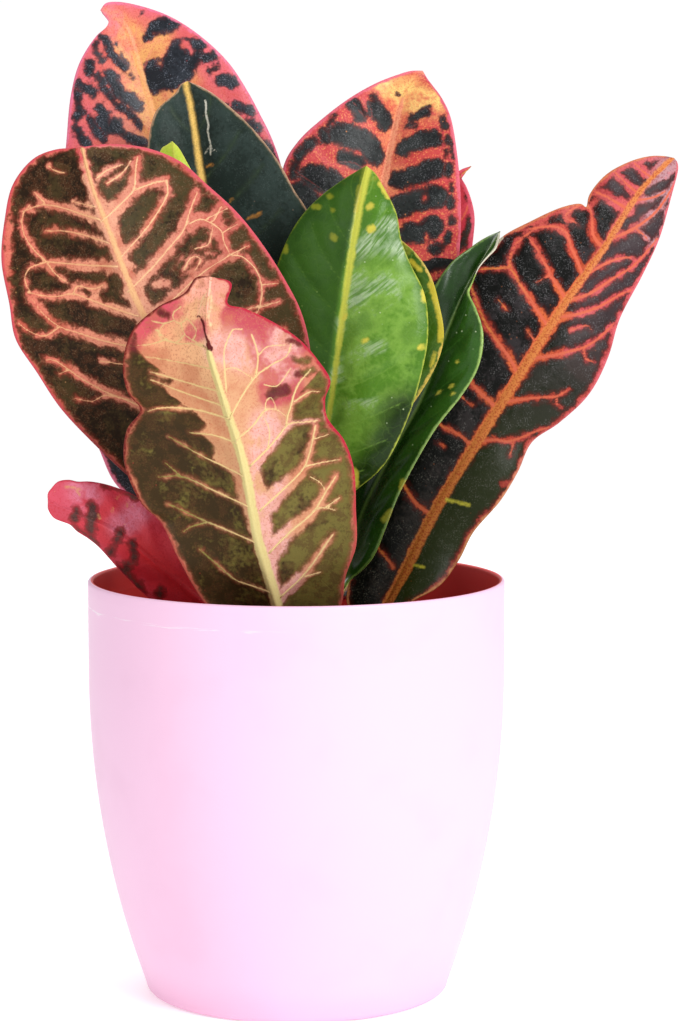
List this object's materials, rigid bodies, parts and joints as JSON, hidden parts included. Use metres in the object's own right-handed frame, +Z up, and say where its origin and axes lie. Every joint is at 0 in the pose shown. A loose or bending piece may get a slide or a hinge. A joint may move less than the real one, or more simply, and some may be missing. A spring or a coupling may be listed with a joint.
{
  "type": "potted croton",
  "caption": "Croton with broad red-margined, dark-blotched and green leaves on a short stem, standing in soil in a round pink plastic pot.",
  "frame": {"origin": "middle of the pot's flat bottom, on the surface it stands on", "axes": "+Z up, -Y towards the side seen in the picture, +X to the right of that side"},
  "size_m": [0.1959, 0.1375, 0.2866],
  "materials": {
    "pot_plastic": "satin",
    "soil": "matte",
    "stem_bark": "matte",
    "leaf_salmon": "satin",
    "leaf_olive_red": "satin",
    "leaf_crimson": "satin",
    "leaf_green": "gloss",
    "leaf_green_yellow": "gloss",
    "leaf_deep_green": "gloss",
    "leaf_black_orange": "satin",
    "leaf_blackish_green": "gloss",
    "leaf_lime": "satin",
    "leaf_black_pink": "satin",
    "leaf_black_red": "satin",
    "leaf_rose": "satin",
    "leaf_rear": "satin"
  },
  "bodies": {
    "root": {"pot": "pot_plastic", "soil": "soil", "stem": "stem_bark", "leaf_front": "leaf_salmon", "leaf_left": "leaf_olive_red", "leaf_low_left": "leaf_crimson", "leaf_bright_green": "leaf_green", "leaf_green_edge": "leaf_green_yellow", "leaf_folded": "leaf_deep_green", "leaf_right": "leaf_black_orange", "leaf_dark_green": "leaf_blackish_green", "leaf_young": "leaf_lime", "leaf_back_left": "leaf_black_pink", "leaf_back_right": "leaf_black_red", "leaf_behind": "leaf_rose", "leaf_rear_left": "leaf_rear", "leaf_rear_right": "leaf_rear"}
  },
  "joints": []
}
